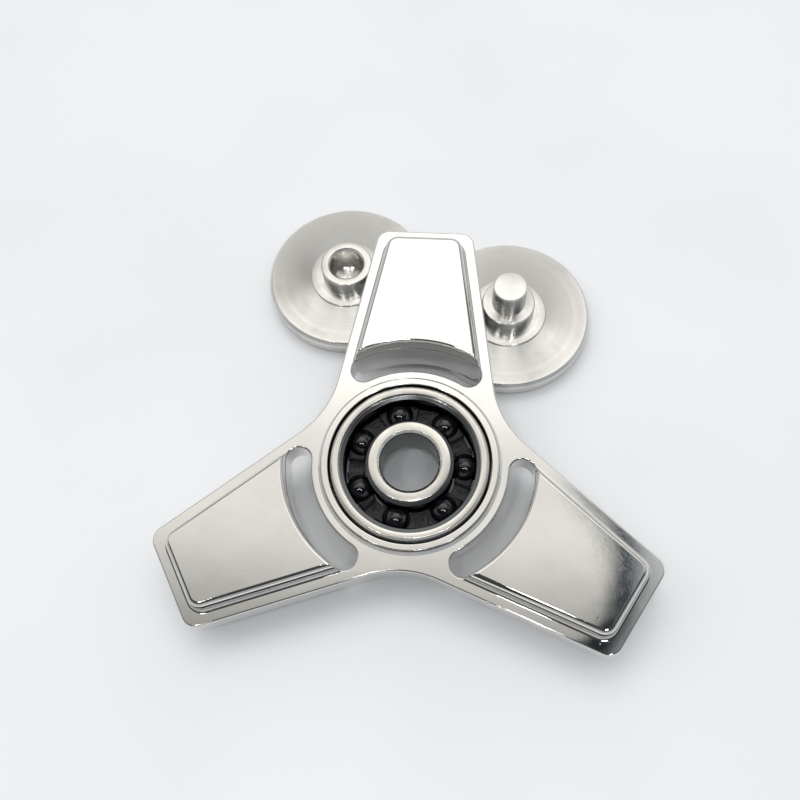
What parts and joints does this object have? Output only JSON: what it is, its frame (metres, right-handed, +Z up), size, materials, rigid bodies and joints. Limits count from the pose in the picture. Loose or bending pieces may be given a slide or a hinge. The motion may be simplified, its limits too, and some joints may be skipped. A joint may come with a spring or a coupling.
{
  "type": "fidget spinner",
  "caption": "Three-arm steel fidget spinner with an open ball bearing, lying on a table propped on its two pulled-off finger buttons.",
  "frame": {"origin": "on the table top, under the middle of the whole object's box", "axes": "+Z up off the table; +Y from the two front arms towards the raised back arm; +X towards the button with the stud"},
  "size_m": [0.0676, 0.0684, 0.0134],
  "materials": {
    "body_steel": "mirror-polished stainless steel",
    "race_steel": "fine-ground bearing steel",
    "button_steel": "lathe-turned stainless steel",
    "ball_ceramic": "polished black ceramic",
    "cage_plastic": "moulded black plastic"
  },
  "bodies": {
    "body": {"spinner_body": "body_steel", "outer_race": "race_steel"},
    "inner_race": {"inner_race": "race_steel"},
    "cage": {"ball_cage": "cage_plastic"},
    "ball_1": {"ball_1": "ball_ceramic"},
    "ball_2": {"ball_2": "ball_ceramic"},
    "ball_3": {"ball_3": "ball_ceramic"},
    "ball_4": {"ball_4": "ball_ceramic"},
    "ball_5": {"ball_5": "ball_ceramic"},
    "ball_6": {"ball_6": "ball_ceramic"},
    "ball_7": {"ball_7": "ball_ceramic"},
    "female_button": {"female_button": "button_steel"},
    "male_button": {"male_button": "button_steel"}
  },
  "joints": [
    {"name": "inner_race_spin", "type": "hinge", "parent": "body", "child": "inner_race", "pos_m": [0, -0.01075, 0.00618], "axis": [0, -0.0802, 0.9968], "continuous": true},
    {"name": "cage_spin", "type": "hinge", "parent": "body", "child": "cage", "pos_m": [0, -0.01075, 0.00618], "axis": [0, -0.0802, 0.9968], "continuous": true},
    {"name": "ball_1_roll", "type": "hinge", "parent": "cage", "child": "ball_1", "pos_m": [0.00749, -0.01048, 0.0062], "axis": [0, -0.0802, 0.9968], "continuous": true},
    {"name": "ball_2_roll", "type": "hinge", "parent": "cage", "child": "ball_2", "pos_m": [0.00446, -0.00474, 0.00666], "axis": [0, -0.0802, 0.9968], "continuous": true},
    {"name": "ball_3_roll", "type": "hinge", "parent": "cage", "child": "ball_3", "pos_m": [-0.00194, -0.00353, 0.00676], "axis": [0, -0.0802, 0.9968], "continuous": true},
    {"name": "ball_4_roll", "type": "hinge", "parent": "cage", "child": "ball_4", "pos_m": [-0.00687, -0.00776, 0.00642], "axis": [0, -0.0802, 0.9968], "continuous": true},
    {"name": "ball_5_roll", "type": "hinge", "parent": "cage", "child": "ball_5", "pos_m": [-0.00663, -0.01424, 0.0059], "axis": [0, -0.0802, 0.9968], "continuous": true},
    {"name": "ball_6_roll", "type": "hinge", "parent": "cage", "child": "ball_6", "pos_m": [-0.0014, -0.0181, 0.00559], "axis": [0, -0.0802, 0.9968], "continuous": true},
    {"name": "ball_7_roll", "type": "hinge", "parent": "cage", "child": "ball_7", "pos_m": [0.00489, -0.01642, 0.00572], "axis": [0, -0.0802, 0.9968], "continuous": true},
    {"name": "female_button_slide", "type": "slide", "parent": "body", "child": "female_button", "axis": [-1, 0, 0], "range_m": [0, 0.02]},
    {"name": "male_button_slide", "type": "slide", "parent": "body", "child": "male_button", "axis": [1, 0, 0], "range_m": [0, 0.02]}
  ],
  "couplings": [
    {"joint": "cage_spin", "follows": "inner_race_spin", "ratio": 0.3677},
    {"joint": "ball_1_roll", "follows": "inner_race_spin", "ratio": -1.7573},
    {"joint": "ball_2_roll", "follows": "inner_race_spin", "ratio": -1.7573},
    {"joint": "ball_3_roll", "follows": "inner_race_spin", "ratio": -1.7573},
    {"joint": "ball_4_roll", "follows": "inner_race_spin", "ratio": -1.7573},
    {"joint": "ball_5_roll", "follows": "inner_race_spin", "ratio": -1.7573},
    {"joint": "ball_6_roll", "follows": "inner_race_spin", "ratio": -1.7573},
    {"joint": "ball_7_roll", "follows": "inner_race_spin", "ratio": -1.7573}
  ]
}
